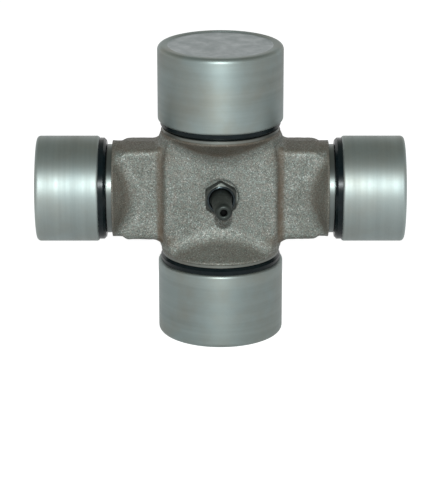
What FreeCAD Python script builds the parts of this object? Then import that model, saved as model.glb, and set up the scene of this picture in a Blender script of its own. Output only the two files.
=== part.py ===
import FreeCAD, Part
import os
import re
import Sketcher

# Universal joint cross with four needle bearing cups and a grease nipple.
# Millimetres and degrees. The origin is where the two trunnion axes cross.
# The wide pair of cups stands along Z, the slim pair lies along X,
# and the grease nipple points along -Y.

doc = FreeCAD.newDocument("universal_joint_cross")
sheet = doc.addObject("Spreadsheet::Sheet", "sizes")

SIZES = [
    # Wide pair, along Z
    ("wide_span", 76.0),                # over the closed ends of the two cups
    ("wide_cup_diameter", 32.0),
    ("wide_cup_length", 19.5),
    ("wide_cup_floor", 3.2),            # thickness of the closed end
    ("wide_end_rounding", 1.2),         # outer edge of the closed end
    ("wide_mouth_rounding", 0.7),       # outer edge of the open end
    ("wide_disc_diameter", 26.8),       # shallow coined disc in the closed end
    ("wide_mouth_diameter", 28.8),          # counterbore that holds the seal
    ("wide_mouth_depth", 3.4),
    ("wide_trunnion_diameter", 20.3),
    ("wide_needle_diameter", 3.0),
    ("wide_needle_count", 24),
    ("wide_neck_diameter", 22.4),       # ground seat of the seal's lip
    ("wide_neck_length", 3.9),
    ("wide_collar_diameter", 30.0),     # turned shoulder next to the forging
    ("wide_collar_width", 0.75),
    ("wide_flange_diameter", 30.4),     # forged round end of the arm
    ("wide_flange_width", 0.5),
    ("wide_flange_face", 16.0),         # from the cross centre
    ("wide_ramp_length", 5.8),          # forged cone behind the flange
    ("wide_ramp_drop", 8.6),
    ("wide_bead_diameter", 30.7),       # rubber bead outside the cup's mouth
    # Slim pair, along X
    ("slim_span", 94.0),
    ("slim_cup_diameter", 27.0),
    ("slim_cup_length", 16.0),
    ("slim_cup_floor", 3.0),
    ("slim_end_rounding", 1.0),
    ("slim_mouth_rounding", 0.6),
    ("slim_disc_diameter", 22.4),
    ("slim_mouth_diameter", 23.8),
    ("slim_mouth_depth", 3.2),
    ("slim_trunnion_diameter", 16.2),
    ("slim_needle_diameter", 2.5),
    ("slim_needle_count", 23),
    ("slim_neck_diameter", 18.2),
    ("slim_neck_length", 4.2),
    ("slim_collar_diameter", 22.7),
    ("slim_collar_width", 1.4),
    ("slim_flange_diameter", 24.7),
    ("slim_flange_width", 0.3),
    ("slim_flange_face", 27.6),
    ("slim_ramp_length", 5.0),
    ("slim_ramp_drop", 6.2),
    ("slim_bead_diameter", 26.0),
    # Forged body: a drafted cross-shaped plate and a thicker upright block
    ("plate_half_thickness", 6.6),
    ("arm_setback", 3.3),               # from a wide flange's face down to the slim arms
    ("block_half_thickness", 7.8),
    ("block_half_width", 15.2),         # of the arm along Z, at the parting plane
    ("block_shoulder_height", 10.3),    # where the block starts to narrow
    ("block_top_half_width", 12.6),
    ("forging_draft", 7.0),
    ("edge_radius", 1.5),
    ("block_edge_radius", 0.9),
    ("trim_width", 2.4),                # the slim arms are round this far in
    ("trim_slope", 2.3),                # from there on they widen to the plate
    ("trim_rise", 1.6),
    # Turned details and fits that both pairs share
    ("running_clearance", 0.05),        # radial, on each side of a needle
    ("end_play", 0.1),                  # trunnion end to cup floor
    ("disc_depth", 0.2),
    ("trunnion_chamfer", 0.6),
    ("channel_diameter", 5.0),          # grease drillings
    ("dish_diameter", 9.0),             # countersink in a trunnion's end
    ("dish_depth", 2.0),
    ("case_thickness", 0.5),
    ("seal_fit", 0.03),                 # between parts of the seal and the cup
    ("lip_clearance", 0.1),
    ("lip_root", 1.1),                  # radial room behind the lip
    ("bead_rounding", 0.6),
    ("axial_gap", 0.15),                # rubber to collar, and at both needle ends
    # Grease nipple, along -Y
    ("nipple_shank_diameter", 6.0),
    ("nipple_shank_length", 5.0),
    ("nipple_hexagon_width", 7.8),            # across flats
    ("nipple_hexagon_height", 3.0),
    ("nipple_reach", 13.8),             # from its seat to the tip
    ("nipple_lean", 3.5),               # towards +X
    ("nipple_root_diameter", 5.8),
    ("nipple_neck_diameter", 4.4),
    ("nipple_tip_diameter", 3.3),
    ("nipple_tip_length", 1.2),
    ("nipple_bore_diameter", 2.7),
    ("nipple_bore_depth", 7.0),
    ("nipple_mouth_diameter", 1.7),
    ("nipple_mouth_depth", 0.8),
    ("nipple_passage_diameter", 1.8),
    ("nipple_seat_diameter", 10.6),     # spot-faced seat in the forging
    ("nipple_seat_depth", 0.3),
    ("nipple_chamfer", 0.5),
    ("nipple_fit", 0.03),
    ("ball_diameter", 2.2),
    ("spring_diameter", 2.2),           # outside the coils
    ("spring_wire_diameter", 0.3),
    ("spring_turns", 5),
    ("spring_gap", 0.1),
]

for row, (alias, number) in enumerate(SIZES, start=1):
    sheet.set("A%d" % row, alias)
    sheet.set("B%d" % row, str(number))
    sheet.setAlias("B%d" % row, alias)
doc.recompute()


def cell(text, pair=""):
    """An expression on the sheet. A name such as pair_span stands for the pair's own size."""
    named = text.replace("pair_", pair + "_")
    return re.sub(r"\b[a-z]+_[a-z_]+\b", lambda word: "sizes." + word.group(0), named)


def number_of(text, pair=""):
    """The number that the expression gives now."""
    return float(sheet.evalExpression(cell(text, pair)))


def bind(item, prop, text, pair=""):
    item.setExpression(prop, cell(text, pair))


def origin_part(body, role):
    return [part for part in body.Origin.OriginFeatures if part.Role == role][0]


def new_body(label):
    body = doc.addObject("PartDesign::Body", label)
    body.Label = label
    return body


def new_sketch(body, name, role="XZ_Plane", offset=None, pair=""):
    sketch = body.newObject("Sketcher::SketchObject", name)
    sketch.AttachmentSupport = [(origin_part(body, role), "")]
    sketch.MapMode = "FlatFace"
    if offset:
        bind(sketch, "AttachmentOffset.Base.z", offset, pair)
    return sketch


def pin_point(sketch, geometry, position, texts, pair):
    """Fixes one point of a sketch by two expressions measured from the origin."""
    for kind, axis, text in (("DistanceX", -2, texts[0]), ("DistanceY", -1, texts[1])):
        if text == "0":
            sketch.addConstraint(Sketcher.Constraint("PointOnObject", geometry, position, axis))
        else:
            number = number_of(text, pair)
            index = sketch.addConstraint(
                Sketcher.Constraint(kind, -1, 1, geometry, position, number))
            bind(sketch, "Constraints[%d]" % index, text, pair)


def draw_polygon(sketch, points, pair=""):
    """A closed outline through points given as pairs of expressions."""
    corners = [FreeCAD.Vector(number_of(x, pair), number_of(y, pair), 0) for x, y in points]
    first = sketch.GeometryCount
    for index, start in enumerate(corners):
        end = corners[(index + 1) % len(corners)]
        sketch.addGeometry(Part.LineSegment(start, end))
    for index in range(len(corners)):
        following = first + (index + 1) % len(corners)
        sketch.addConstraint(Sketcher.Constraint("Coincident", first + index, 2, following, 1))
    for index, texts in enumerate(points):
        pin_point(sketch, first + index, 1, texts, pair)


def draw_circle(sketch, radius, centre=("0", "0"), pair=""):
    middle = FreeCAD.Vector(number_of(centre[0], pair), number_of(centre[1], pair), 0)
    sketch.addGeometry(
        Part.Circle(middle, FreeCAD.Vector(0, 0, 1), number_of(radius, pair)))
    index = sketch.addConstraint(Sketcher.Constraint("Radius", 0, number_of(radius, pair)))
    bind(sketch, "Constraints[%d]" % index, radius, pair)
    pin_point(sketch, 0, 3, centre, pair)


def turn(body, kind, name, sketch, axis="V_Axis"):
    """A full Revolution or Groove of a sketch about one of its own axes."""
    feature = body.newObject("PartDesign::" + kind, name)
    feature.Profile = sketch
    feature.ReferenceAxis = (sketch, [axis])
    feature.Angle = 360
    return feature


def mirror(body, name, originals, role):
    feature = body.newObject("PartDesign::Mirrored", name)
    feature.Originals = originals
    feature.MirrorPlane = (origin_part(body, role), [""])
    body.Tip = feature
    return feature


def dress(body, kind, name, base, prop, text, chosen, pair=""):
    """A Fillet or Chamfer on the edges of base that the function chosen accepts."""
    names = ["Edge%d" % number for number, edge in enumerate(base.Shape.Edges, start=1)
             if chosen(edge)]
    if not names:
        raise ValueError("no edge for " + name)
    feature = body.newObject("PartDesign::" + kind, name)
    feature.Base = (base, names)
    bind(feature, prop, text, pair)
    return feature


def ring_at(radius, height):
    """Accepts the circular edges about Z of one radius at one height."""
    def chosen(edge):
        round_edge = isinstance(edge.Curve, Part.Circle)
        return (round_edge and abs(edge.Curve.Radius - radius) < 1e-4
                and abs(edge.Curve.Center.z - height) < 1e-4)
    return chosen


# Every cup, seal and needle set is modelled with its trunnion's axis along +Z,
# and its placement turns it to its own side.
X_AXIS = FreeCAD.Vector(1, 0, 0)
Y_AXIS = FreeCAD.Vector(0, 1, 0)
SIDES = {
    "top": ("wide", FreeCAD.Rotation(X_AXIS, 0)),
    "bottom": ("wide", FreeCAD.Rotation(X_AXIS, 180)),
    "left": ("slim", FreeCAD.Rotation(Y_AXIS, -90)),
    "right": ("slim", FreeCAD.Rotation(Y_AXIS, 90)),
}

# Places along a trunnion's axis, from the centre of the cross
MOUTH = "(pair_span / 2 - pair_cup_length)"
SHELF = "(pair_span / 2 - pair_cup_length + pair_mouth_depth)"
FLOOR = "(pair_span / 2 - pair_cup_floor)"
COLLAR = "(pair_flange_face + pair_collar_width)"
TRUNNION_END = "(pair_span / 2 - pair_cup_floor - end_play)"
# Half the height of the slim arms, at the parting plane
NIPPLE_DEPTH = "(block_half_thickness - nipple_seat_depth)"
PLATE_EDGE = "(wide_flange_face - arm_setback)"
RACE = "(pair_trunnion_diameter / 2 + pair_needle_diameter + 2 * running_clearance)"


def bearing_cup(side):
    """A drawn and ground cup: closed end outwards, race inside, seal seat in its mouth."""
    pair, rotation = SIDES[side]
    body = new_body("bearing_cup_" + side)
    sketch = new_sketch(body, "cup_section_" + side)
    draw_polygon(sketch, [
        ("0", FLOOR),
        (RACE, FLOOR),
        (RACE, SHELF),
        ("pair_mouth_diameter / 2", SHELF),
        ("pair_mouth_diameter / 2", MOUTH),
        ("pair_cup_diameter / 2", MOUTH),
        ("pair_cup_diameter / 2", "pair_span / 2"),
        ("pair_disc_diameter / 2", "pair_span / 2"),
        ("pair_disc_diameter / 2", "pair_span / 2 - disc_depth"),
        ("0", "pair_span / 2 - disc_depth"),
    ], pair)
    turned = turn(body, "Revolution", "cup_turned_" + side, sketch)
    doc.recompute()
    outside = number_of("pair_cup_diameter / 2", pair)
    end = dress(body, "Fillet", "cup_end_" + side, turned, "Radius", "pair_end_rounding",
                ring_at(outside, number_of("pair_span / 2", pair)), pair)
    doc.recompute()
    dress(body, "Fillet", "cup_mouth_" + side, end, "Radius", "pair_mouth_rounding",
          ring_at(outside, number_of(MOUTH, pair)), pair)
    body.Placement.Rotation = rotation
    return body


def needle_rollers(side):
    """A full circle of loose needle rollers, one solid each."""
    pair, rotation = SIDES[side]
    body = new_body("needle_rollers_" + side)
    sketch = new_sketch(body, "needle_section_" + side, "XY_Plane", SHELF + " + axial_gap", pair)
    pitch = "pair_trunnion_diameter / 2 + running_clearance + pair_needle_diameter / 2"
    draw_circle(sketch, "pair_needle_diameter / 2", (pitch, "0"), pair)
    needle = body.newObject("PartDesign::Pad", "needle_" + side)
    needle.Profile = sketch
    bind(needle, "Length", FLOOR + " - " + SHELF + " - 2 * axial_gap", pair)
    doc.recompute()
    circle = body.newObject("PartDesign::PolarPattern", "needle_circle_" + side)
    circle.Originals = [needle]
    circle.Axis = (origin_part(body, "Z_Axis"), [""])
    circle.Angle = 360
    bind(circle, "Occurrences", "pair_needle_count", pair)
    body.Tip = circle
    body.Placement.Rotation = rotation
    return body


def seal_case(side):
    """The pressed steel ring that stiffens the seal and keeps the needles in."""
    pair, rotation = SIDES[side]
    body = new_body("seal_case_" + side)
    sketch = new_sketch(body, "case_section_" + side)
    outside = "(pair_mouth_diameter / 2 - seal_fit)"
    inside = "(pair_neck_diameter / 2 + lip_root / 2)"
    back = "(" + SHELF + " - seal_fit)"
    front = "(" + MOUTH + " + case_thickness)"
    draw_polygon(sketch, [
        (outside, front),
        (outside, back),
        (inside, back),
        (inside, back + " - case_thickness"),
        (outside + " - case_thickness", back + " - case_thickness"),
        (outside + " - case_thickness", front),
    ], pair)
    turn(body, "Revolution", "case_turned_" + side, sketch)
    body.Placement.Rotation = rotation
    return body


def seal_lip(side):
    """The rubber ring: a bead outside the cup's mouth, and a lip on the trunnion's neck."""
    pair, rotation = SIDES[side]
    body = new_body("seal_lip_" + side)
    sketch = new_sketch(body, "lip_section_" + side)
    front = "(" + COLLAR + " + axial_gap)"
    mouth = "(" + MOUTH + " - seal_fit)"
    case_front = "(" + MOUTH + " + case_thickness - seal_fit)"
    case_back = "(" + SHELF + " - case_thickness - 2 * seal_fit)"
    case_inside = "(pair_mouth_diameter / 2 - 2 * seal_fit - case_thickness)"
    lip = "(pair_neck_diameter / 2 + lip_clearance)"
    root = "(pair_neck_diameter / 2 + lip_root)"
    bead = "(pair_bead_diameter / 2)"
    draw_polygon(sketch, [
        (bead, mouth),
        (bead, front + " + bead_rounding"),
        (bead + " - bead_rounding", front),
        (root, front),
        (lip, front + " + lip_root / 2"),
        (lip, front + " + lip_root"),
        (root, front + " + lip_root * 1.5"),
        (root, case_back),
        (case_inside, case_back),
        (case_inside, case_front),
        ("pair_mouth_diameter / 2 - seal_fit", case_front),
        ("pair_mouth_diameter / 2 - seal_fit", mouth),
    ], pair)
    turn(body, "Revolution", "lip_turned_" + side, sketch)
    body.Placement.Rotation = rotation
    return body


def drafted_bar(body, name, half_x, half_z, half_thickness, draft_x, draft_z):
    """A forged bar in two halves that narrow from the parting plane to the two faces."""
    shrink = "(" + half_thickness + " * tan(forging_draft))"
    face_x = half_x + (" - " + shrink if draft_x else "")
    face_z = half_z + (" - " + shrink if draft_z else "")
    halves = (
        ("_front", "-" + half_thickness, "0", (face_x, face_z), (half_x, half_z)),
        ("_back", "0", half_thickness, (half_x, half_z), (face_x, face_z)),
    )
    for suffix, low, high, low_size, high_size in halves:
        wedge = body.newObject("PartDesign::AdditiveWedge", name + suffix)
        texts = {
            "Ymin": low, "Ymax": high,
            "Xmin": "-(" + low_size[0] + ")", "Xmax": low_size[0],
            "Zmin": "-(" + low_size[1] + ")", "Zmax": low_size[1],
            "X2min": "-(" + high_size[0] + ")", "X2max": high_size[0],
            "Z2min": "-(" + high_size[1] + ")", "Z2max": high_size[1],
        }
        for prop, text in texts.items():
            setattr(wedge, prop, number_of(text))
            if text != "0":
                bind(wedge, prop, text)
        doc.recompute()
    return wedge


def on_faces(depth):
    """Accepts edges that lie in the two flat faces at this depth."""
    def chosen(edge):
        return all(abs(abs(vertex.Point.y) - depth) < 1e-3 for vertex in edge.Vertexes)
    return chosen


def forging(body):
    """The cross-shaped plate, its hollows and rounded edges, and the thicker upright block."""
    drafted_bar(body, "level_bar", "slim_flange_face", PLATE_EDGE,
                "plate_half_thickness", False, True)
    bars = drafted_bar(body, "upright_bar", "block_half_width", "wide_flange_face",
                       "plate_half_thickness", True, False)
    inner_x = number_of("block_half_width") + 0.5
    inner_z = number_of(PLATE_EDGE) + 0.5

    def between_arms(edge):
        points = [vertex.Point for vertex in edge.Vertexes]
        near = all(abs(point.x) < inner_x and abs(point.z) < inner_z for point in points)
        return near and abs(points[0].y - points[-1].y) > 1

    hollow = dress(body, "Fillet", "arm_corners", bars, "Radius", "arm_setback * 0.9", between_arms)
    doc.recompute()
    on_plate = on_faces(number_of("plate_half_thickness"))
    end_x = number_of("slim_flange_face") - 1e-3
    end_z = number_of("wide_flange_face") - 1e-3

    def arm_edge(edge):
        points = [vertex.Point for vertex in edge.Vertexes]
        at_end = (all(abs(point.x) > end_x for point in points)
                  or all(abs(point.z) > end_z for point in points))
        return on_plate(edge) and not at_end

    dress(body, "Fillet", "arm_edges", hollow, "Radius", "edge_radius", arm_edge)
    doc.recompute()

    block = drafted_bar(body, "block", "block_half_width", "wide_flange_face",
                        "block_half_thickness", True, False)
    triangle = [
        ("block_half_width", "block_shoulder_height"),
        ("block_half_width", "wide_flange_face"),
        ("block_top_half_width", "wide_flange_face"),
    ]
    for side, offset, outwards in (("front", "plate_half_thickness", True),
                                   ("back", "-plate_half_thickness", False)):
        sketch = new_sketch(body, "block_corner_outline_" + side, "XZ_Plane", offset)
        for sign_x in ("", "-"):
            for sign_z in ("", "-"):
                draw_polygon(sketch, [(sign_x + x, sign_z + z) for x, z in triangle])
        before = block.Shape.Volume
        block = body.newObject("PartDesign::Pocket", "block_corners_" + side)
        block.Profile = sketch
        block.Type = "ThroughAll"
        block.Reversed = outwards
        doc.recompute()
        print("block corners", side, round(before - block.Shape.Volume, 1))

    on_block = on_faces(number_of("block_half_thickness"))

    def block_edge(edge):
        points = [vertex.Point for vertex in edge.Vertexes]
        return on_block(edge) and abs(points[0].z - points[-1].z) > 1

    dress(body, "Fillet", "block_edges", block, "Radius", "block_edge_radius", block_edge)
    doc.recompute()


def arm_end(body, pair, axis, role):
    """What each arm of a pair ends in: forged ramp and flange, then the turned trunnion."""
    def place(radius, along):
        return (radius, along) if axis == "V_Axis" else (along, radius)

    flange = "(pair_flange_diameter / 2)"
    collar = "(pair_collar_diameter / 2)"
    neck = "(pair_neck_diameter / 2)"
    trunnion = "(pair_trunnion_diameter / 2)"
    neck_end = "(" + COLLAR + " + pair_neck_length)"
    ramp_start = "(pair_flange_face - pair_flange_width)"

    ramp_sketch = new_sketch(body, pair + "_ramp_section")
    draw_polygon(ramp_sketch, [place(*point) for point in (
        ("0", "pair_flange_face"),
        (flange, "pair_flange_face"),
        (flange, ramp_start),
        (flange + " - pair_ramp_drop", ramp_start + " - pair_ramp_length"),
        ("0", ramp_start + " - pair_ramp_length"),
    )], pair)
    ramp = turn(body, "Revolution", pair + "_ramp", ramp_sketch, axis)
    doc.recompute()
    mirror(body, pair + "_ramps", [ramp], role)
    doc.recompute()

    trim_sketch = new_sketch(body, pair + "_trim_section")
    beyond = "(pair_flange_face + 1)"
    outer = "(" + flange + " + 3 * trim_rise)"
    if pair == "wide":
        round_end = "(" + ramp_start + " - pair_collar_width / 2)"
        slope_end = "(" + PLATE_EDGE + " + trim_rise / 8)"
    else:
        round_end = "(pair_flange_face - trim_width)"
        slope_end = "(pair_flange_face - trim_width - trim_slope)"
    draw_polygon(trim_sketch, [place(*point) for point in (
        (flange, beyond),
        (flange, round_end),
        (flange + " + trim_rise", slope_end),
        (outer, slope_end),
        (outer, beyond),
    )], pair)
    trim = turn(body, "Groove", pair + "_trim", trim_sketch, axis)
    doc.recompute()
    mirror(body, pair + "_trims", [trim], role)
    doc.recompute()

    turned_sketch = new_sketch(body, pair + "_trunnion_section")
    draw_polygon(turned_sketch, [place(*point) for point in (
        ("0", ramp_start),
        (collar, ramp_start),
        (collar, COLLAR),
        (neck, COLLAR),
        (neck, neck_end),
        (trunnion, neck_end + " + " + neck + " - " + trunnion),
        (trunnion, TRUNNION_END + " - trunnion_chamfer"),
        (trunnion + " - trunnion_chamfer", TRUNNION_END),
        ("dish_diameter / 2", TRUNNION_END),
        ("channel_diameter / 2", TRUNNION_END + " - dish_depth"),
        ("0", TRUNNION_END + " - dish_depth"),
    )], pair)
    trunnion_feature = turn(body, "Revolution", pair + "_trunnion", turned_sketch, axis)
    doc.recompute()
    mirror(body, pair + "_trunnions", [trunnion_feature], role)
    doc.recompute()


def drill(body, name, role, diameter):
    """A round hole right through the cross."""
    sketch = new_sketch(body, name + "_circle", role)
    draw_circle(sketch, diameter + " / 2")
    hole = body.newObject("PartDesign::Pocket", name)
    hole.Profile = sketch
    hole.Type = "ThroughAll"
    hole.SideType = "Symmetric"
    doc.recompute()


def cross_body():
    """The forged and turned spider, drilled for grease."""
    body = new_body("cross_body")
    forging(body)
    arm_end(body, "wide", "V_Axis", "XY_Plane")
    arm_end(body, "slim", "H_Axis", "YZ_Plane")
    before = body.Shape.Volume
    drill(body, "upright_channel", "XY_Plane", "channel_diameter")
    drill(body, "level_channel", "YZ_Plane", "channel_diameter")
    for name, diameter in (("nipple_seat", "nipple_seat_diameter"),
                           ("nipple_hole", "(nipple_shank_diameter + 2 * nipple_fit)")):
        circle = new_sketch(body, name + "_circle", "XZ_Plane", NIPPLE_DEPTH)
        bind(circle, "AttachmentOffset.Rotation.Angle", "nipple_lean")
        circle.AttachmentOffset.Rotation.Axis = Y_AXIS
        draw_circle(circle, diameter + " / 2")
        cut = body.newObject("PartDesign::Pocket", name)
        cut.Profile = circle
        if name == "nipple_seat":
            cut.Type = "ThroughAll"
            cut.Reversed = True
        else:
            bind(cut, "Length", NIPPLE_DEPTH)
        doc.recompute()
        print(name, "leaves", round(body.Shape.Volume, 1))
    print("drilled away", round(before - body.Shape.Volume, 1))
    return body


# The nipple's own frame has +Z along its axis, from its seat on the forging to the tip.
# A turn about the world's Z leans that axis from -Y towards +X.
NIPPLE_TURN = FreeCAD.Rotation(FreeCAD.Vector(0, 0, 1), number_of("nipple_lean")) * \
    FreeCAD.Rotation(X_AXIS, 90)
BALL_HEIGHT = ("(nipple_reach - nipple_mouth_depth - nipple_fit"
               " - sqrt(ball_diameter ^ 2 - nipple_mouth_diameter ^ 2) / 2)")
BORE_FLOOR = "(nipple_reach - nipple_bore_depth)"


def seat_on_forging(item):
    item.Placement.Rotation = NIPPLE_TURN
    bind(item, "Placement.Base.y", "-" + NIPPLE_DEPTH)


def grease_nipple():
    """Threaded shank, hexagon with a turned front chamfer, and tapered barrel."""
    body = new_body("grease_nipple")
    outline = new_sketch(body, "hexagon_outline", "XY_Plane")
    corner = "nipple_hexagon_width / 2 / cos(30)"
    flat = "nipple_hexagon_width / 2"
    draw_polygon(outline, [
        ("0", corner),
        ("-" + flat, corner + " / 2"),
        ("-" + flat, "-" + corner + " / 2"),
        ("0", "-" + corner),
        (flat, "-" + corner + " / 2"),
        (flat, corner + " / 2"),
    ])
    hexagon = body.newObject("PartDesign::Pad", "hexagon")
    hexagon.Profile = outline
    bind(hexagon, "Length", "nipple_hexagon_height")
    doc.recompute()

    bevel = new_sketch(body, "hexagon_bevel_section")
    inner = "(nipple_hexagon_width / 2 - nipple_chamfer / 2)"
    outer = "(nipple_hexagon_width / 2 + 3 * nipple_chamfer)"
    draw_polygon(bevel, [
        (inner, "nipple_hexagon_height"),
        (outer, "nipple_hexagon_height - (" + outer + " - " + inner + ") * tan(30)"),
        (outer, "nipple_hexagon_height + nipple_chamfer"),
        (inner, "nipple_hexagon_height + nipple_chamfer"),
    ])
    turn(body, "Groove", "hexagon_bevel", bevel)
    doc.recompute()

    section = new_sketch(body, "nipple_section")
    draw_polygon(section, [
        ("0", "-nipple_shank_length"),
        ("nipple_shank_diameter / 2 - nipple_chamfer", "-nipple_shank_length"),
        ("nipple_shank_diameter / 2", "-nipple_shank_length + nipple_chamfer"),
        ("nipple_shank_diameter / 2", "nipple_hexagon_height / 2"),
        ("nipple_root_diameter / 2", "nipple_hexagon_height / 2"),
        ("nipple_root_diameter / 2", "nipple_hexagon_height + nipple_chamfer"),
        ("nipple_neck_diameter / 2", "nipple_reach - nipple_tip_length"),
        ("nipple_tip_diameter / 2", "nipple_reach"),
        ("0", "nipple_reach"),
    ])
    turn(body, "Revolution", "nipple_turned", section)
    doc.recompute()

    bore = new_sketch(body, "nipple_bore_section")
    draw_polygon(bore, [
        ("0", "nipple_reach + nipple_chamfer"),
        ("nipple_mouth_diameter / 2", "nipple_reach + nipple_chamfer"),
        ("nipple_mouth_diameter / 2", "nipple_reach - nipple_mouth_depth"),
        ("nipple_bore_diameter / 2", "nipple_reach - nipple_mouth_depth"
         " - (nipple_bore_diameter - nipple_mouth_diameter) / 2"),
        ("nipple_bore_diameter / 2", BORE_FLOOR),
        ("nipple_passage_diameter / 2", BORE_FLOOR),
        ("nipple_passage_diameter / 2", "-nipple_shank_length - nipple_chamfer"),
        ("0", "-nipple_shank_length - nipple_chamfer"),
    ])
    turn(body, "Groove", "nipple_bored", bore)
    seat_on_forging(body)
    return body


def nipple_ball():
    """The check ball, pressed against the mouth of the nipple from inside."""
    ball = doc.addObject("Part::Sphere", "nipple_ball")
    ball.Label = "nipple_ball"
    bind(ball, "Radius", "ball_diameter / 2")
    bind(ball, "Placement.Base.x", BALL_HEIGHT + " * sin(nipple_lean)")
    bind(ball, "Placement.Base.y", "-" + NIPPLE_DEPTH + " - " + BALL_HEIGHT + " * cos(nipple_lean)")
    return ball


def nipple_spring():
    """The coil spring between the ball and the step in the nipple's bore."""
    body = new_body("nipple_spring")
    sketch = new_sketch(body, "wire_section")
    mean = "((spring_diameter - spring_wire_diameter) / 2)"
    start = "(" + BORE_FLOOR + " + spring_wire_diameter / 2 + spring_gap)"
    # The last coil touches the ball where both circles meet
    reach = "sqrt((ball_diameter / 2 + spring_wire_diameter / 2) ^ 2 - " + mean + " ^ 2)"
    draw_circle(sketch, "spring_wire_diameter / 2", (mean, start))
    coil = body.newObject("PartDesign::AdditiveHelix", "coil")
    coil.Profile = sketch
    coil.ReferenceAxis = (sketch, ["V_Axis"])
    coil.Mode = "height-turns-angle"
    bind(coil, "Height", BALL_HEIGHT + " - " + reach + " - spring_gap - " + start)
    bind(coil, "Turns", "spring_turns")
    coil.Angle = 0
    seat_on_forging(body)
    return body


def build():
    pieces = [cross_body(), grease_nipple(), nipple_ball(), nipple_spring()]
    for side in SIDES:
        pieces += [bearing_cup(side), needle_rollers(side), seal_case(side), seal_lip(side)]
    doc.recompute()
    return pieces


def check(pieces):
    """Stops where any object failed, or a piece has no sound solid."""
    for item in doc.Objects:
        if "Invalid" in item.State or "Error" in item.State:
            raise ValueError(item.Label + " did not compute: " + ", ".join(item.State))
    for piece in pieces:
        if piece.Shape.isNull() or not piece.Shape.isValid() or not piece.Shape.Solids:
            raise ValueError(piece.Label + " has no sound solid")


made = build()
check(made)
os.makedirs("parts", exist_ok=True)
for piece in made:
    piece.Shape.exportStep("parts/%s.step" % piece.Label)
    print(piece.Label, len(piece.Shape.Solids), round(piece.Shape.Volume, 1))
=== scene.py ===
import math

import bpy
import numpy as np
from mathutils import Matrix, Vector


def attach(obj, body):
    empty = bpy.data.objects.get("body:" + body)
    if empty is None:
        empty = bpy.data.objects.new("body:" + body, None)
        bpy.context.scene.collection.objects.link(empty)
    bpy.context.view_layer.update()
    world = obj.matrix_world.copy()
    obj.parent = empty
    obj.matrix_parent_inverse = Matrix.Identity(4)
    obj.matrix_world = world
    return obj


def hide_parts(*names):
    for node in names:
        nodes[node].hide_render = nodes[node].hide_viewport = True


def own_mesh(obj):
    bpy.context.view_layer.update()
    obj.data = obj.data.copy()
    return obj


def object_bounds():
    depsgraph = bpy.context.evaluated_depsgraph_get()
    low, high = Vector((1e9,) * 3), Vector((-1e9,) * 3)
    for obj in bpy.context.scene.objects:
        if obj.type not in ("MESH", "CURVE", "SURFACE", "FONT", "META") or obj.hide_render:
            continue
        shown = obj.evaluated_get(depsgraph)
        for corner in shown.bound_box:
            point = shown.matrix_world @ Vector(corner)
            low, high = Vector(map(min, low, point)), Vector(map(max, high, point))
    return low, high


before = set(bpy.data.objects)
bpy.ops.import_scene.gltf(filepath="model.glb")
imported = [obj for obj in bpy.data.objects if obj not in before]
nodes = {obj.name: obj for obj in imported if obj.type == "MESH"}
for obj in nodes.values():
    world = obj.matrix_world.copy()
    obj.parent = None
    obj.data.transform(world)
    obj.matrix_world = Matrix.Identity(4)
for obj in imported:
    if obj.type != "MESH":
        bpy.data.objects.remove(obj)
cad_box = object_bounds()
MM = 0.001

# Sizes of the forging and its turned parts, in millimetres, as in the CAD model
PLATE_DEPTH = 6.6
PLATE_HEIGHT = 12.7
BLOCK_DEPTH = 7.8
BLOCK_WIDTH = 15.2
BLOCK_SHOULDER = 10.3
BLOCK_TOP_WIDTH = 12.6
DRAFT = math.radians(7)
CORNER_RADIUS = 3.0
EDGE_RADIUS = 1.5
BLOCK_CORNER_RADIUS = 1.5
STEP_RADIUS = 0.9
STEP_HOLLOW = 1.3             # radius of the soft hollow where the block joins the plate
FLANGE_ROUNDING = 0.3
CONE_ROUNDING = 0.25
SEAT_ROUNDING = 0.25
PAIRS = {
    "wide": dict(face=16.0, flange=15.2, rim=0.5, ramp=5.8, drop=8.6, collar=15.0, collar_end=16.75,
                 neck=11.2, neck_end=20.65, trunnion=10.15, end=34.7, trim_start=15.125, trim_end=12.9,
                 trim_rise=1.6, hollow=2.6),
    "slim": dict(face=27.6, flange=12.35, rim=0.3, ramp=5.0, drop=6.2, collar=11.35, collar_end=29.0,
                 neck=9.1, neck_end=33.2, trunnion=8.1, end=43.9, trim_start=25.2, trim_end=22.9,
                 trim_rise=1.6, hollow=2.2),
}
CUPS = {
    "wide": dict(outside=16.0, disc=13.4, mouth_bore=14.4, race=13.25, mouth=18.5, shelf=21.9, floor=34.8,
                 end=38.0, end_rounding=1.2, mouth_rounding=0.7),
    "slim": dict(outside=13.5, disc=11.2, mouth_bore=11.9, race=10.7, mouth=31.0, shelf=34.2, floor=44.0,
                 end=47.0, end_rounding=1.0, mouth_rounding=0.6),
}
SEAT_RADIUS = 4.6
SEAT_DEPTH = 7.5              # distance of the nipple's seat from the centre
NIPPLE_HOLE = 3.03
NIPPLE_LEAN = math.radians(3.5)
CHANNEL = 2.5


def round_max(a, b, radius):
    """Where both solids are, with the outer edge between them rounded."""
    return np.minimum(np.maximum(a, b), -radius) + np.hypot(
        np.maximum(a + radius, 0), np.maximum(b + radius, 0))


def round_min(a, b, radius):
    """Where either solid is, with the inner corner between them filled."""
    return np.maximum(np.minimum(a, b), radius) - np.hypot(
        np.maximum(radius - a, 0), np.maximum(radius - b, 0))


def flared_end(around, along, pair):
    """The cone behind a flange, and the region that the flange is trimmed to."""
    p = PAIRS[pair]
    length = math.hypot(p["drop"], p["ramp"])
    start = p["face"] - p["rim"]
    cone = ((around - p["flange"]) * p["ramp"] - (along - start) * p["drop"]) / length
    cone = round_max(cone, around - p["flange"], CONE_ROUNDING)
    slope = p["trim_rise"] / (p["trim_start"] - p["trim_end"])
    widening = ((around - p["flange"]) - slope * (p["trim_start"] - along)) / math.hypot(1, slope)
    trim = np.minimum(np.minimum(around - p["flange"], widening), along - p["trim_end"])
    return cone, trim


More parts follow.
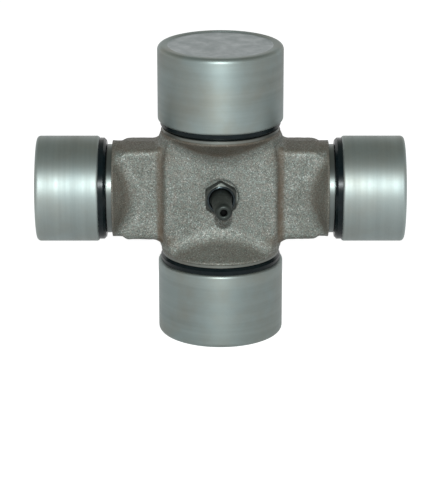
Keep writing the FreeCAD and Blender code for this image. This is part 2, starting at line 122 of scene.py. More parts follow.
def forging(x, y, z):
    """Signed distance to the forged body, in millimetres, negative inside."""
    ax, ay, az = np.abs(x), np.abs(y), np.abs(z)
    lean = ay * math.tan(DRAFT)
    side_z = (az + lean - PLATE_HEIGHT) * math.cos(DRAFT)
    side_x = (ax + lean - BLOCK_WIDTH) * math.cos(DRAFT)
    outline = round_min(side_z, side_x, CORNER_RADIUS)
    plate = round_max(outline, ay - PLATE_DEPTH, EDGE_RADIUS)
    run = math.hypot(BLOCK_WIDTH - BLOCK_TOP_WIDTH, PAIRS["wide"]["face"] - BLOCK_SHOULDER)
    corner = ((ax - BLOCK_WIDTH) * (PAIRS["wide"]["face"] - BLOCK_SHOULDER)
              + (az - BLOCK_SHOULDER) * (BLOCK_WIDTH - BLOCK_TOP_WIDTH)) / run
    block_side = round_max(side_x, corner, BLOCK_CORNER_RADIUS)
    block = round_max(block_side, ay - BLOCK_DEPTH, STEP_RADIUS)
    # The block joins the plate in a soft hollow, but their common flanks stay flush
    step = round_min(plate, block, STEP_HOLLOW)
    flush = np.clip((PLATE_DEPTH - 0.6 - ay) / 0.8, 0, 1)
    body = step * (1 - flush) + np.minimum(plate, block) * flush
    around_z, around_x = np.hypot(x, y), np.hypot(y, z)
    wide_cone, wide_trim = flared_end(around_z, az, "wide")
    slim_cone, slim_trim = flared_end(around_x, ax, "slim")
    body = round_min(body, wide_cone, PAIRS["wide"]["hollow"])
    body = round_min(body, slim_cone, PAIRS["slim"]["hollow"])
    body = round_max(body, wide_trim, FLANGE_ROUNDING)
    body = round_max(body, slim_trim, FLANGE_ROUNDING)
    body = np.maximum(body, az - PAIRS["wide"]["face"])
    body = np.maximum(body, ax - PAIRS["slim"]["face"])
    along = x * math.sin(NIPPLE_LEAN) - (y + SEAT_DEPTH) * math.cos(NIPPLE_LEAN)
    sideways = x * math.cos(NIPPLE_LEAN) + (y + SEAT_DEPTH) * math.sin(NIPPLE_LEAN)
    around_nipple = np.hypot(sideways, z)
    seat = round_max(around_nipple - SEAT_RADIUS, -along, 0.1)
    body = round_max(body, -seat, SEAT_ROUNDING)
    body = np.maximum(body, -np.maximum(around_nipple - NIPPLE_HOLE, y))
    channels = np.minimum(around_z, around_x) - CHANNEL
    return np.maximum(body, -channels)


def surface_net(field, low, high, step):
    """Quads over the zero surface of a distance field, one vertex in each crossed cell."""
    axes = [np.arange(a, b + step, step) for a, b in zip(low, high)]
    grid = field(*np.meshgrid(*axes, indexing="ij")).astype(np.float32)
    cells = tuple(n - 1 for n in grid.shape)
    total = np.zeros(cells + (3,), np.float32)
    count = np.zeros(cells, np.float32)
    corners = [(i, j, k) for i in (0, 1) for j in (0, 1) for k in (0, 1)]

    def at(corner):
        return grid[tuple(slice(c, c + n) for c, n in zip(corner, cells))]

    for first in corners:
        for axis in range(3):
            if first[axis]:
                continue
            second = tuple(c + (n == axis) for n, c in enumerate(first))
            a, b = at(first), at(second)
            crossed = (a < 0) != (b < 0)
            share = np.where(crossed, a / np.where(crossed, a - b, 1), 0)
            for n in range(3):
                total[..., n] += np.where(crossed, first[n] + (share if n == axis else 0), 0)
            count += crossed
    used = count > 0
    number = np.full(cells, -1, np.int64)
    number[used] = np.arange(used.sum())
    place = np.argwhere(used) + total[used] / count[used][:, None]
    points = place * step + np.array([a[0] for a in axes])
    faces = []
    for axis in range(3):
        u, v = (axis + 1) % 3, (axis + 2) % 3
        here = [slice(1, -1)] * 3
        here[axis] = slice(0, -1)
        ahead = list(here)
        ahead[axis] = slice(1, None)
        a, b = grid[tuple(here)] < 0, grid[tuple(ahead)] < 0
        for entering, order in ((a & ~b, (0, 1, 2, 3)), (~a & b, (3, 2, 1, 0))):
            base = np.argwhere(entering)
            base[:, u] += 1
            base[:, v] += 1
            quad = []
            for du, dv in ((0, 0), (-1, 0), (-1, -1), (0, -1)):
                cell = base.copy()
                cell[:, u] += du
                cell[:, v] += dv
                quad.append(number[cell[:, 0], cell[:, 1], cell[:, 2]])
            faces.append(np.stack([quad[n] for n in order], 1))
    return points, np.concatenate(faces)


def gradient(field, points, reach=0.05):
    """The field's direction of growth at each point."""
    out = np.zeros_like(points)
    for n in range(3):
        ahead, behind = points.copy(), points.copy()
        ahead[:, n] += reach
        behind[:, n] -= reach
        out[:, n] = field(*ahead.T) - field(*behind.T)
    return out / np.maximum(np.linalg.norm(out, axis=1, keepdims=True), 1e-9)


def lattice_noise(points, size, seed):
    """Smooth noise between -1 and 1 with features about as large as size."""
    rng = np.random.default_rng(seed)
    table = rng.uniform(-1, 1, 4096)
    scaled = points / size + 100
    base = np.floor(scaled).astype(np.int64)
    part = scaled - base
    part = part * part * (3 - 2 * part)
    out = np.zeros(len(points))
    for i in (0, 1):
        for j in (0, 1):
            for k in (0, 1):
                key = (base[:, 0] + i) * 73 + (base[:, 1] + j) * 1201 + (base[:, 2] + k) * 2917
                weight = np.ones(len(points))
                for n, up in enumerate((i, j, k)):
                    weight *= part[:, n] if up else 1 - part[:, n]
                out += table[key % 4096] * weight
    return out


def mesh_object(name, points, faces, material, body, smooth_angle=None):
    """A mesh from points in millimetres, riding on a body."""
    mesh = bpy.data.meshes.new(name)
    mesh.from_pydata([tuple(p) for p in np.asarray(points) * MM], [], [tuple(f) for f in faces])
    mesh.validate()
    mesh.update()
    mesh.polygons.foreach_set("use_smooth", [True] * len(mesh.polygons))
    if smooth_angle:
        mesh.set_sharp_from_angle(angle=math.radians(smooth_angle))
    obj = bpy.data.objects.new(name, mesh)
    bpy.context.scene.collection.objects.link(obj)
    obj.data.materials.append(material)
    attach(obj, body)
    return obj


def new_material(name):
    """A material with its node tree and its principled shader."""
    material = bpy.data.materials.new(name)
    material.use_nodes = True
    tree = material.node_tree
    return material, tree, tree.nodes["Principled BSDF"]


def add(tree, kind, **values):
    """A node whose inputs and properties are set by name."""
    node = tree.nodes.new(kind)
    for key, value in values.items():
        if key in node.inputs:
            node.inputs[key].default_value = value
        else:
            setattr(node, key, value)
    return node


def ramp(tree, source, stops):
    """The colour that a ramp of (position, colour) stops gives for a value."""
    node = tree.nodes.new("ShaderNodeValToRGB")
    elements = node.color_ramp.elements
    while len(elements) < len(stops):
        elements.new(0.5)
    for element, (position, color) in zip(elements, stops):
        element.position = position
        element.color = tuple(color) + (1,) if len(color) == 3 else color
    tree.links.new(source, node.inputs["Fac"])
    return node.outputs["Color"]


def grey(value):
    return (value, value, value)


def seen_rays(tree, direct, mirrored):
    """One value for camera rays, another for glossy and transmission rays, 0 for diffuse ones.

    Each value is a number or another node's output."""
    path = add(tree, "ShaderNodeLightPath")
    total = None
    for value, names in ((direct, ["Is Camera Ray"]), (mirrored, ["Is Glossy Ray", "Is Transmission Ray"])):
        for name in names:
            part = add(tree, "ShaderNodeMath", operation="MULTIPLY")
            tree.links.new(path.outputs[name], part.inputs[0])
            if isinstance(value, float):
                part.inputs[1].default_value = value
            else:
                tree.links.new(value, part.inputs[1])
            if total is None:
                total = part.outputs[0]
                continue
            either = add(tree, "ShaderNodeMath", operation="MAXIMUM")
            tree.links.new(total, either.inputs[0])
            tree.links.new(part.outputs[0], either.inputs[1])
            total = either.outputs[0]
    return total


def forged_material():
    """Shot-blasted forging: fine grain with bright specks that are painted glints of the flash, brown and
    darker where the stain_and_shade attribute says so, which is partly real stain and partly painted shade.
    """
    material, tree, shader = new_material("shot_blasted_forging")
    link = tree.links.new
    place = add(tree, "ShaderNodeTexCoord").outputs["Object"]
    grain = add(tree, "ShaderNodeTexNoise", Scale=2800.0, Detail=3.0, Roughness=0.7)
    link(place, grain.inputs["Vector"])
    hue = add(tree, "ShaderNodeTexNoise", Scale=1500.0, Detail=3.0, Roughness=0.6)
    link(place, hue.inputs["Vector"])
    patch = add(tree, "ShaderNodeTexNoise", Scale=170.0, Detail=4.0, Roughness=0.65)
    link(place, patch.inputs["Vector"])
    stain_and_shade = add(tree, "ShaderNodeAttribute", attribute_name="stain_and_shade")
    base = ramp(tree, grain.outputs["Fac"], [(0.3, (0.08, 0.082, 0.07)), (0.48, (0.175, 0.182, 0.162)),
                                            (0.6, (0.235, 0.245, 0.22)), (0.75, (0.52, 0.54, 0.5))])
    # Small bright specks painted into the colour: painted glints of the flash on the blasted grain
    glint_speck = add(tree, "ShaderNodeTexNoise", Scale=5000.0, Detail=1.0, Roughness=0.5)
    link(place, glint_speck.inputs["Vector"])
    speckled = add(tree, "ShaderNodeMix", data_type="RGBA")
    link(ramp(tree, glint_speck.outputs["Fac"], [(0.66, grey(0.0)), (0.74, grey(1.0))]), speckled.inputs["Factor"])
    link(base, speckled.inputs["A"])
    speckled.inputs["B"].default_value = (0.72, 0.76, 0.75, 1)
    cloudy = add(tree, "ShaderNodeMix", data_type="RGBA", blend_type="MULTIPLY")
    cloudy.inputs["Factor"].default_value = 1.0
    link(speckled.outputs["Result"], cloudy.inputs["A"])
    link(ramp(tree, patch.outputs["Fac"], [(0.35, (0.84, 0.84, 0.82)), (0.65, (1.12, 1.12, 1.12))]),
         cloudy.inputs["B"])
    tinted = add(tree, "ShaderNodeMix", data_type="RGBA", blend_type="MULTIPLY")
    tinted.inputs["Factor"].default_value = 1.0
    link(cloudy.outputs["Result"], tinted.inputs["A"])
    link(ramp(tree, hue.outputs["Fac"], [(0.35, (0.94, 1.02, 1.03)), (0.5, (1.0, 1.0, 1.0)),
                                        (0.65, (1.08, 0.98, 0.96))]), tinted.inputs["B"])
    # Brown mixed in where the attribute says: real stain, with painted shade on the upper cones, the steps
    # and the arm tops
    brown = add(tree, "ShaderNodeMix", data_type="RGBA")
    amount = add(tree, "ShaderNodeMath", operation="MULTIPLY")
    link(stain_and_shade.outputs["Fac"], amount.inputs[0])
    link(ramp(tree, patch.outputs["Fac"], [(0.3, grey(0.55)), (0.65, grey(1.0))]), amount.inputs[1])
    link(amount.outputs[0], brown.inputs["Factor"])
    link(tinted.outputs["Result"], brown.inputs["A"])
    brown.inputs["B"].default_value = (0.096, 0.068, 0.044, 1)
    link(brown.outputs["Result"], shader.inputs["Base Color"])
    shader.inputs["Metallic"].default_value = 0.35
    link(ramp(tree, grain.outputs["Fac"], [(0.3, grey(0.72)), (0.7, grey(0.36))]), shader.inputs["Roughness"])
    bump = add(tree, "ShaderNodeBump", Strength=0.8, Distance=0.00014)
    link(grain.outputs["Fac"], bump.inputs["Height"])
    link(bump.outputs["Normal"], shader.inputs["Normal"])
    return material


def ground_material(name, color, roughness, axis, warmth=0.5):
    """Ground steel: fine marks run around the axis ("X" or "Z")."""
    material, tree, shader = new_material(name)
    link = tree.links.new
    place = add(tree, "ShaderNodeTexCoord").outputs["Object"]
    stretch = add(tree, "ShaderNodeMapping")
    stretch.inputs["Scale"].default_value = (1.0, 0.03, 0.03) if axis == "X" else (0.03, 0.03, 1.0)
    link(place, stretch.inputs["Vector"])
    fine = add(tree, "ShaderNodeTexNoise", Scale=4200.0, Detail=3.0, Roughness=0.7)
    link(stretch.outputs["Vector"], fine.inputs["Vector"])
    broad = add(tree, "ShaderNodeTexNoise", Scale=420.0, Detail=2.0, Roughness=0.6)
    link(stretch.outputs["Vector"], broad.inputs["Vector"])
    cloud = add(tree, "ShaderNodeTexNoise", Scale=75.0, Detail=4.0, Roughness=0.6)
    link(place, cloud.inputs["Vector"])
    tone = add(tree, "ShaderNodeMath", operation="MULTIPLY_ADD")
    link(fine.outputs["Fac"], tone.inputs[0])
    tone.inputs[1].default_value = 0.45
    link(broad.outputs["Fac"], tone.inputs[2])
    darker = [c * 0.93 for c in color]
    lighter = [c * 1.07 for c in color]
    steel = ramp(tree, tone.outputs[0], [(0.45, darker), (0.95, lighter)])
    warm = add(tree, "ShaderNodeMix", data_type="RGBA", blend_type="MULTIPLY")
    link(ramp(tree, cloud.outputs["Fac"], [(0.42, grey(0.0)), (0.68, grey(warmth))]), warm.inputs["Factor"])
    link(steel, warm.inputs["A"])
    warm.inputs["B"].default_value = (0.94, 0.82, 0.74, 1)
    link(warm.outputs["Result"], shader.inputs["Base Color"])
    shader.inputs["Metallic"].default_value = 1.0
    link(ramp(tree, broad.outputs["Fac"], [(0.35, grey(roughness * 1.05)), (0.65, grey(roughness * 0.95))]),
         shader.inputs["Roughness"])
    shader.inputs["Anisotropic"].default_value = 0.3
    shader.inputs["Anisotropic Rotation"].default_value = 0.25
    tangent = add(tree, "ShaderNodeTangent", direction_type="RADIAL", axis=axis)
    link(tangent.outputs["Tangent"], shader.inputs["Tangent"])
    bump = add(tree, "ShaderNodeBump", Strength=0.25, Distance=0.00002)
    link(fine.outputs["Fac"], bump.inputs["Height"])
    link(bump.outputs["Normal"], shader.inputs["Normal"])
    return material


def speckled_material(name, low, high, metallic, roughness, scale=900.0, specular=0.3):
    """A plain finish with a fine uneven tone."""
    material, tree, shader = new_material(name)
    link = tree.links.new
    place = add(tree, "ShaderNodeTexCoord").outputs["Object"]
    tone = add(tree, "ShaderNodeTexNoise", Scale=scale, Detail=4.0, Roughness=0.65)
    link(place, tone.inputs["Vector"])
    link(ramp(tree, tone.outputs["Fac"], [(0.35, low), (0.65, high)]), shader.inputs["Base Color"])
    link(ramp(tree, tone.outputs["Fac"], [(0.35, grey(roughness * 1.15)), (0.65, grey(roughness * 0.85))]),
         shader.inputs["Roughness"])
    shader.inputs["Metallic"].default_value = metallic
    shader.inputs["Specular IOR Level"].default_value = specular
    bump = add(tree, "ShaderNodeBump", Strength=0.3, Distance=0.00003)
    link(tone.outputs["Fac"], bump.inputs["Height"])
    link(bump.outputs["Normal"], shader.inputs["Normal"])
    return material


forged = forged_material()
ground = {
    # The upright cups' steel is a darker copy of the level cups' steel: painted shade for how they face the
    # flash and floor
    "wide": ground_material("ground_steel_upright_shaded", (0.248, 0.29, 0.283), 0.5, "Z", 0.75),
    "slim": ground_material("ground_steel_level", (0.302, 0.344, 0.336), 0.56, "X"),
}
cup_end = speckled_material("dull_cup_end", (0.325, 0.36, 0.372), (0.36, 0.395, 0.408), 1.0, 0.44, 330.0)
turned = {
    "wide": ground_material("turned_steel_upright", (0.17, 0.18, 0.165), 0.42, "Z"),
    "slim": ground_material("turned_steel_level", (0.155, 0.175, 0.17), 0.42, "X"),
}
roller = speckled_material("polished_rollers", (0.5, 0.5, 0.5), (0.6, 0.6, 0.6), 1.0, 0.15)
pressed = speckled_material("pressed_sheet", (0.35, 0.35, 0.34), (0.45, 0.45, 0.44), 1.0, 0.35)
# The nipple's barrel and hexagon are dark plating, made darker still as a painted dark reflection of the room
plated_and_shaded = speckled_material("dark_plating_and_shade", (0.022, 0.026, 0.023), (0.038, 0.045, 0.04), 0.5, 0.42)
blackened = speckled_material("blackened_plating", (0.02, 0.026, 0.028), (0.04, 0.05, 0.054), 0.9, 0.22)
nipple_steel_shaded = speckled_material("nipple_steel_shaded", (0.036, 0.039, 0.035), (0.06, 0.064, 0.058), 0.8, 0.46)
# The check ball is painted near black and dull: painted shade of the nipple's bore around it
bore_shade_ball = speckled_material("ball_in_bore_shade", (0.002, 0.002, 0.002), (0.005, 0.005, 0.005), 0.0, 0.7,
                               specular=0.03)
rubber = speckled_material("black_rubber", (0.002, 0.005, 0.006), (0.005, 0.01, 0.012), 0.0, 0.24,
                           scale=500.0, specular=0.16)


def dress(node, material):
    """A CAD node's finish, with its mesh left as it is."""
    data = nodes[node].data
    data.materials.clear()
    data.materials.append(material)


for side in ("top", "bottom", "left", "right"):
    dress("needle_rollers_" + side, roller)
    dress("seal_case_" + side, pressed)
    dress("seal_lip_" + side, rubber)
dress("nipple_ball", bore_shade_ball)


# The forged body: one closed skin over the distance field, drawn onto it and then made slightly wavy
GRID = 0.32
GRID_HALF = (28.2, 16.0, 16.6)
WAVES = ((0.12, 6.0, 1), (0.06, 2.2, 2), (0.035, 0.9, 3))    # depth, size and seed of the skin's waviness


def brown_and_shade_amount(points):
    """How brown and dark the skin is: real brown stain around the cones and oxide in the corners, with
    painted shade added on the upper cones, along the steps and on top of the arms.
    """
    ax, ay, az = np.abs(points[:, 0]), np.abs(points[:, 1]), np.abs(points[:, 2])
    around_z, around_x = np.hypot(points[:, 0], points[:, 1]), np.hypot(points[:, 1], points[:, 2])
    wide_cone, _ = flared_end(around_z, az, "wide")
    slim_cone, _ = flared_end(around_x, ax, "slim")
    # The upper cones get more brown than the lower ones: painted shade where they face down, away from the
    # flash
    wide_share_with_top_shade = np.where(points[:, 2] > 0, 0.85, 0.4)
    stain_and_shade = np.maximum(wide_share_with_top_shade * np.exp(-np.clip(wide_cone - 0.2, 0, 9) / 0.35),
                       0.6 * np.exp(-np.clip(slim_cone - 0.2, 0, 9) / 0.35))
    # A brown band along the block's steps: partly stain, partly painted shade of the step
    step_brown_and_shade = np.exp(-((ax - BLOCK_WIDTH - 0.1) / 1.0) ** 4) * (az < PLATE_HEIGHT)
    upper_corner = np.exp(-((ax - 14.5) / 2.2) ** 2 - ((points[:, 2] - 10.6) / 2.2) ** 2)
    lower_corner = np.exp(-((ax - 13.5) / 2.4) ** 2 - ((points[:, 2] + 12.0) / 1.8) ** 2)
    # The tops of the arms are browned: painted shade where the flash only grazes them
    arm_top_shade = np.clip((ax - BLOCK_WIDTH) / 1.5, 0, 1) * np.clip((points[:, 2] - 10.8) / 0.8, 0, 1)
    stain_and_shade = np.maximum(stain_and_shade, 0.95 * step_brown_and_shade * (ay > 5))
    stain_and_shade = np.maximum(stain_and_shade, 0.7 * np.maximum(upper_corner, lower_corner))
    return np.clip(np.maximum(stain_and_shade, 0.65 * arm_top_shade), 0, 1)


points, faces = surface_net(forging, [-half for half in GRID_HALF], GRID_HALF, GRID)
# The vertices move onto the surface in three steps
for repeat in range(3):
    points = points - gradient(forging, points) * forging(*points.T)[:, None] * 0.8
normals = gradient(forging, points)
# The waviness dies away towards the turned faces and the nipple's seat
away = np.minimum(PAIRS["wide"]["face"] - np.abs(points[:, 2]), PAIRS["slim"]["face"] - np.abs(points[:, 0]))
seat_away = np.hypot(points[:, 0], points[:, 2]) - SEAT_RADIUS + 0.2
rough = np.clip(away / 1.2, 0, 1) * np.where(points[:, 1] < 0, np.clip(seat_away / 0.5, 0, 1), 1)
swell = sum(depth * lattice_noise(points, size, seed) for depth, size, seed in WAVES) * rough
points = points + normals * swell[:, None]
body_piece = mesh_object("forged_body", points, faces, forged, "cross")

# The brown attribute carries real stain and painted shade alike
attribute = body_piece.data.attributes.new("stain_and_shade", "FLOAT", "POINT")
attribute.data.foreach_set("value", brown_and_shade_amount(points).astype(np.float32))
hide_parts("cross_body")


def lathe(name, profile, turns, material, body, segments=192):
    """A solid of revolution from (radius, height) points; turns maps its own axes to the frame's.

    A profile that starts and ends on the axis is closed there, any other one runs round to its start."""
    solid = profile[0][0] == 0 and profile[-1][0] == 0
    rings = profile[1:-1] if solid else profile
    ring = np.linspace(0, 2 * math.pi, segments, endpoint=False)
    rows = []
    for radius, height in rings:
        rows.append(np.stack([radius * np.cos(ring), radius * np.sin(ring), np.full(segments, height)], 1))
    if solid:
        rows.append(np.array([(0, 0, profile[0][1]), (0, 0, profile[-1][1])]))
    out = np.concatenate(rows) @ np.array(turns, float)
    around = np.arange(segments)
    beside = (around + 1) % segments
    polygons = []
    count = len(rings)
    for row in range(count - 1 if solid else count):
        following = (row + 1) % count
        polygons += np.stack([row * segments + around, row * segments + beside,
                              following * segments + beside, following * segments + around], 1).tolist()
    if solid:
        first, last = count * segments, count * segments + 1
        polygons += np.stack([np.full(segments, first), beside, around], 1).tolist()
        end = (count - 1) * segments
        polygons += np.stack([end + around, end + beside, np.full(segments, last)], 1).tolist()
    return mesh_object(name, out, polygons, material, body, smooth_angle=35)


TURNS = {
    "top": ((1, 0, 0), (0, 1, 0), (0, 0, 1)),
    "bottom": ((1, 0, 0), (0, -1, 0), (0, 0, -1)),
    "left": ((0, 0, 1), (0, 1, 0), (-1, 0, 0)),
    "right": ((0, 0, -1), (0, 1, 0), (1, 0, 0)),
}
END_CHAMFER = 0.6
GREASE_FUNNEL = 2.0           # depth and width of the chamfer at the drilling's mouth


def trunnion_profile(pair):
    """The turned end's section: collar, neck for the seal, trunnion and the drilling's chamfered mouth."""
    p = PAIRS[pair]
    small = 0.12
    return [
        (CHANNEL, p["face"]),
        (p["collar"], p["face"]),
        (p["collar"], p["collar_end"] - small),
        (p["collar"] - small, p["collar_end"]),
        (p["neck"] + small, p["collar_end"]),
        (p["neck"], p["collar_end"] + small),
        (p["neck"], p["neck_end"]),
        (p["trunnion"], p["neck_end"] + p["neck"] - p["trunnion"]),
        (p["trunnion"], p["end"] - END_CHAMFER),
        (p["trunnion"] - END_CHAMFER, p["end"]),
        (CHANNEL + GREASE_FUNNEL, p["end"]),
        (CHANNEL, p["end"] - GREASE_FUNNEL),
    ]


def arc(centre, radius, start, end, steps=6, rise=None):
    """Points on a circle between two angles in degrees, or on an ellipse with rise as its other half axis."""
    angles = np.radians(np.linspace(start, end, steps + 1))
    rise = radius if rise is None else rise
    return [(centre[0] + radius * math.cos(a), centre[1] + rise * math.sin(a)) for a in angles]


DISC_DROP = 0.2               # how far the disc in the closed end lies below its rim


def cup_profile(pair):
    """The cup's section, from the middle of its closed end round to the middle of its inner floor."""
    c = CUPS[pair]
    end, mouth, outside = c["end"], c["mouth"], c["outside"]
    disc = end - DISC_DROP
    points = [(0, disc)]
    points += [(c["disc"] * share, disc) for share in (0.25, 0.5, 0.75, 0.93)]
    points += [(c["disc"] - 0.12, disc), (c["disc"] - 0.02, disc + 0.06), (c["disc"] + 0.04, end - 0.04),
               (c["disc"] + 0.14, end)]
    rounding = c["end_rounding"]
    points += arc((outside - rounding, end - rounding), rounding, 90, 0, 8)
    low = mouth + c["mouth_rounding"]
    high = end - rounding
    points += [(outside, high + (low - high) * share) for share in (0.25, 0.5, 0.75)]
    points += arc((outside - c["mouth_rounding"], low), c["mouth_rounding"], 0, -90)
    points += [(c["mouth_bore"] + 0.1, mouth), (c["mouth_bore"], mouth + 0.1), (c["mouth_bore"], c["shelf"]),
               (c["race"], c["shelf"]), (c["race"], c["floor"]), (0, c["floor"])]
    return points


for side, turns in TURNS.items():
    pair = "wide" if side in ("top", "bottom") else "slim"
    piece = lathe("trunnion_" + side, trunnion_profile(pair), turns, turned[pair], "cross")
    cup = lathe("cup_" + side, cup_profile(pair), turns, ground[pair], "cup_" + side, segments=256)
    # The disc in the closed end has a duller finish of its own
    cup.data.materials.append(cup_end)
    along = {"top": (2, 1), "bottom": (2, -1), "left": (0, -1), "right": (0, 1)}[side]
    edge = (CUPS[pair]["end"] - 0.25) * MM
    for polygon in cup.data.polygons:
        middle = polygon.center.copy()
        if middle[along[0]] * along[1] > edge:
            middle[along[0]] = 0
            polygon.material_index = int(middle.length < (CUPS[pair]["disc"] - 0.05) * MM)
    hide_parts("bearing_cup_" + side)


# The grease nipple: its own axis leans from the front towards +X
lean_sine, lean_cosine = math.sin(NIPPLE_LEAN), math.cos(NIPPLE_LEAN)
NIPPLE_AXES = np.array([(lean_cosine, lean_sine, 0), (0, 0, 1), (lean_sine, -lean_cosine, 0)])
nipple_foot = Vector((0, -SEAT_DEPTH * MM, 0))


def shift(piece, offset):
    """Moves a piece's vertices by a vector in metres."""
    for vertex in piece.data.vertices:
        vertex.co += offset


# Radius and height over the seat: the thread, the barrel's outside, its rounded tip and the bore
BORE_FLOOR = 6.8
barrel = lathe("nipple_barrel", [
    (0.9, -5.0), (2.5, -5.0), (3.0, -4.5), (3.0, 1.5), (2.65, 1.5), (2.62, 3.3), (2.6, 4.3), (2.46, 7.8),
    (2.27, 11.6), (2.25, 12.2), (2.19, 12.8), (2.04, 13.3), (1.8, 13.65), (1.5, 13.79), (1.2, 13.8),
    (1.0, 13.72), (0.9, 13.55), (0.88, 13.0), (1.35, 12.5), (1.35, BORE_FLOOR), (0.9, BORE_FLOOR)],
    NIPPLE_AXES, plated_and_shaded, "cross", segments=96)
shift(barrel, nipple_foot)

# The hexagon, with eased corners and a chamfered top, and a dark rounded ring pressed into it
HEXAGON_STEPS = 180
HALF_FLAT = 3.9               # half the width across flats
CORNER_REACH = 4.42
CORNER_EASE = 0.06
HEXAGON_HOLE = 3.02
HEXAGON_TOP = 2.82
CHAMFER_START = 3.62
CHAMFER = math.radians(30)
RING_MIDDLE = (3.23, 2.72)
RING_HALF_WIDTH = 0.37
RING_RISE = 0.28
RING_FOOT = 1.6
angles = np.linspace(0, 2 * math.pi, HEXAGON_STEPS, endpoint=False)
from_flat = (angles + math.pi / 6) % (math.pi / 3) - math.pi / 6
corner_share = np.abs(from_flat) / (math.pi / 6)
reach = np.minimum(HALF_FLAT / np.cos(from_flat), CORNER_REACH - CORNER_EASE * corner_share ** 2)
slope = HEXAGON_TOP - (reach - CHAMFER_START) * math.tan(CHAMFER)
level = np.zeros(HEXAGON_STEPS)
rows = [(level + HEXAGON_HOLE, level), (reach - 0.1, level), (reach, level + 0.1),
        (reach, slope - 0.08), (reach - 0.05, slope)]
ring_start = len(rows)
ring_profile = arc(RING_MIDDLE, RING_HALF_WIDTH, 0, 180, 8, RING_RISE)
ring_profile.append((RING_MIDDLE[0] - RING_HALF_WIDTH, RING_FOOT))
rows += [(level + radius, level + height) for radius, height in ring_profile]
ring_points = np.concatenate([np.stack([r * np.cos(angles), r * np.sin(angles), h], 1) for r, h in rows])
around = np.arange(HEXAGON_STEPS)
beside = (around + 1) % HEXAGON_STEPS
hexagon_faces = []
for row in range(len(rows)):
    here = row * HEXAGON_STEPS
    above = (row + 1) % len(rows) * HEXAGON_STEPS
    hexagon_faces += np.stack([here + around, here + beside, above + beside, above + around], 1).tolist()
hexagon = mesh_object("nipple_hexagon", ring_points @ NIPPLE_AXES, hexagon_faces, nipple_steel_shaded, "cross",
                      smooth_angle=28)
hexagon.data.materials.append(blackened)
for number, polygon in enumerate(hexagon.data.polygons):
    polygon.material_index = int(number // HEXAGON_STEPS >= ring_start)
shift(hexagon, nipple_foot)
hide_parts("grease_nipple")

# The spring behind the check ball, drawn at one length, though the real one shortens as the ball is pushed in
COIL_RADIUS = 0.95
COIL_START = 7.05
COIL_END = 11.36
COIL_TURNS = 5
WIRE_RADIUS = 0.15
steps = 140
sides = 10
rise = (COIL_END - COIL_START) / (2 * math.pi * COIL_TURNS)
wire = []
for n in range(steps + 1):
    angle = 2 * math.pi * COIL_TURNS * n / steps
    outwards = np.array((math.cos(angle), math.sin(angle), 0))
    forwards = np.array((-math.sin(angle) * COIL_RADIUS, math.cos(angle) * COIL_RADIUS, rise))
    across = np.cross(forwards / np.linalg.norm(forwards), outwards)
    middle = outwards * COIL_RADIUS + np.array((0, 0, COIL_START + rise * angle))
    for side_angle in np.linspace(0, 2 * math.pi, sides, endpoint=False):
        wire.append(middle + WIRE_RADIUS * (outwards * math.cos(side_angle) + across * math.sin(side_angle)))
wire_faces = [tuple(range(sides))[::-1], tuple(range(steps * sides, (steps + 1) * sides))]
for n in range(steps):
    for m in range(sides):
        beyond = (m + 1) % sides
        wire_faces.append((n * sides + m, n * sides + beyond, (n + 1) * sides + beyond, (n + 1) * sides + m))
spring = mesh_object("ball_spring", np.array(wire) @ NIPPLE_AXES, wire_faces, roller, "cross",
                     smooth_angle=40)
shift(spring, nipple_foot)
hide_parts("nipple_spring")
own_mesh(spring)


# The floor
floor_material, tree, shader = new_material("pale_floor")
tree.nodes.remove(shader)
link = tree.links.new
matte = add(tree, "ShaderNodeBsdfDiffuse", Color=(0.5, 0.5, 0.5, 1))
glow = add(tree, "ShaderNodeEmission", Color=(1, 1, 1, 1))
# The floor is white to the eye, and reflections see it brightest in a ring around the part
from_middle = add(tree, "ShaderNodeVectorMath", operation="LENGTH")
link(add(tree, "ShaderNodeTexCoord").outputs["Object"], from_middle.inputs[0])
distance = from_middle.outputs["Value"]
direct = ramp(tree, distance, [(0.015, grey(0.8)), (0.055, grey(0.98))])
mirrored = ramp(tree, distance, [(0.03, grey(0.42)), (0.065, grey(0.5)), (0.12, grey(0.95)),
                                 (0.2, grey(0.6)), (0.5, grey(0.5))])
link(seen_rays(tree, direct, mirrored), glow.inputs["Strength"])
total = add(tree, "ShaderNodeAddShader")
link(matte.outputs[0], total.inputs[0])
link(glow.outputs[0], total.inputs[1])
link(total.outputs[0], tree.nodes["Material Output"].inputs["Surface"])

floor_height = cad_box[0][2]
FLOOR_RADIUS = 3.0
FLOOR_CORNERS = 96
corner_angles = [2 * math.pi * n / FLOOR_CORNERS for n in range(FLOOR_CORNERS)]
floor_mesh = bpy.data.meshes.new("floor")
floor_mesh.from_pydata(
    [(FLOOR_RADIUS * math.cos(a), FLOOR_RADIUS * math.sin(a), floor_height) for a in corner_angles],
    [], [tuple(range(FLOOR_CORNERS))])
floor = bpy.data.objects.new("floor", floor_mesh)
floor.data.materials.append(floor_material)
bpy.context.scene.collection.objects.link(floor)

# The room: bright at the horizon, darker overhead
world = bpy.data.worlds.new("studio")
bpy.context.scene.world = world
world.use_nodes = True
tree = world.node_tree
link = tree.links.new
direction = add(tree, "ShaderNodeTexCoord").outputs["Generated"]
split = add(tree, "ShaderNodeSeparateXYZ")
link(direction, split.inputs[0])
dome = ramp(tree, split.outputs["Z"], [(0.0, grey(1.0)), (0.26, (0.98, 0.98, 0.97)), (0.5, (0.6, 0.61, 0.58)),
                                      (0.77, (0.36, 0.37, 0.34)), (1.0, (0.3, 0.31, 0.28))])
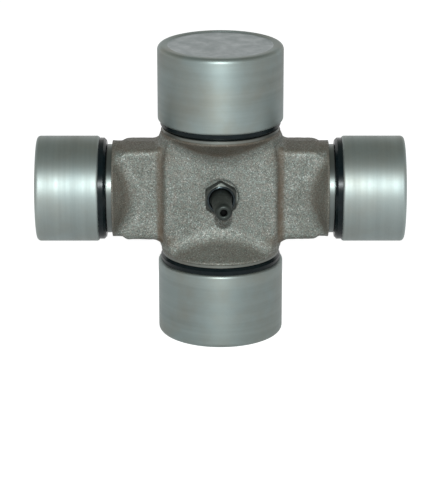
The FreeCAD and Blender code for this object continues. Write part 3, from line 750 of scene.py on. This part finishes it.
# Reflections see a dark figure behind the flash
FIGURE_HEIGHT = math.radians(42)
towards = add(tree, "ShaderNodeVectorMath", operation="DOT_PRODUCT")
link(direction, towards.inputs[0])
towards.inputs[1].default_value = (0.0, -math.cos(FIGURE_HEIGHT), math.sin(FIGURE_HEIGHT))
figure = add(tree, "ShaderNodeMix", data_type="RGBA", blend_type="MULTIPLY")
figure.inputs["Factor"].default_value = 1.0
link(dome, figure.inputs["A"])
link(ramp(tree, towards.outputs["Value"], [(0.86, grey(1.0)), (0.93, grey(0.25))]), figure.inputs["B"])
room = add(tree, "ShaderNodeMix", data_type="RGBA")
link(seen_rays(tree, 1.0, 1.0), room.inputs["Factor"])
room.inputs["A"].default_value = (0.06, 0.06, 0.058, 1)
link(figure.outputs["Result"], room.inputs["B"])
link(room.outputs["Result"], tree.nodes["Background"].inputs["Color"])
tree.nodes["Background"].inputs["Strength"].default_value = 1.0

scene = bpy.context.scene
scene.view_settings.view_transform = "Standard"

# The flash stands a hand's width above the lens
flash_data = bpy.data.lights.new("flash", "AREA")
flash_data.shape = "DISK"
flash_data.size = 0.032
flash_data.energy = 4.3
flash_data.color = (0.93, 1.0, 1.01)
flash = bpy.data.objects.new("flash", flash_data)
flash.location = (0.0, -0.62, 0.297)
flash.rotation_euler = (Vector((0, 0, 0)) - flash.location).to_track_quat("-Z", "Y").to_euler()
scene.collection.objects.link(flash)

# The camera stands where the photo was taken from. Pixels count from the photo's upper left corner.
PHOTO_WIDTH = 442
PHOTO_HEIGHT = 500
CENTRE_ACROSS = 220.45        # pixels to the centre of the cross
CENTRE_DOWN = 188.1
FOCAL_LENGTH = 2545           # in pixels
SENSOR = 36.0
camera_data = bpy.data.cameras.new("camera")
camera_data.sensor_width = SENSOR
camera_data.lens = FOCAL_LENGTH / PHOTO_HEIGHT * SENSOR
camera_data.clip_start = 0.01
camera = bpy.data.objects.new("camera", camera_data)
DISTANCE = 0.654
ELEVATION = math.radians(17.27)
camera.location = (0.0, -DISTANCE * math.cos(ELEVATION), DISTANCE * math.sin(ELEVATION))
PITCH = ELEVATION + math.atan((PHOTO_HEIGHT / 2 - CENTRE_DOWN) / FOCAL_LENGTH)
TURN = -math.atan((PHOTO_WIDTH / 2 - CENTRE_ACROSS) / FOCAL_LENGTH)
camera.rotation_euler = (math.pi / 2 - PITCH, 0, TURN)
scene.collection.objects.link(camera)
scene.camera = camera
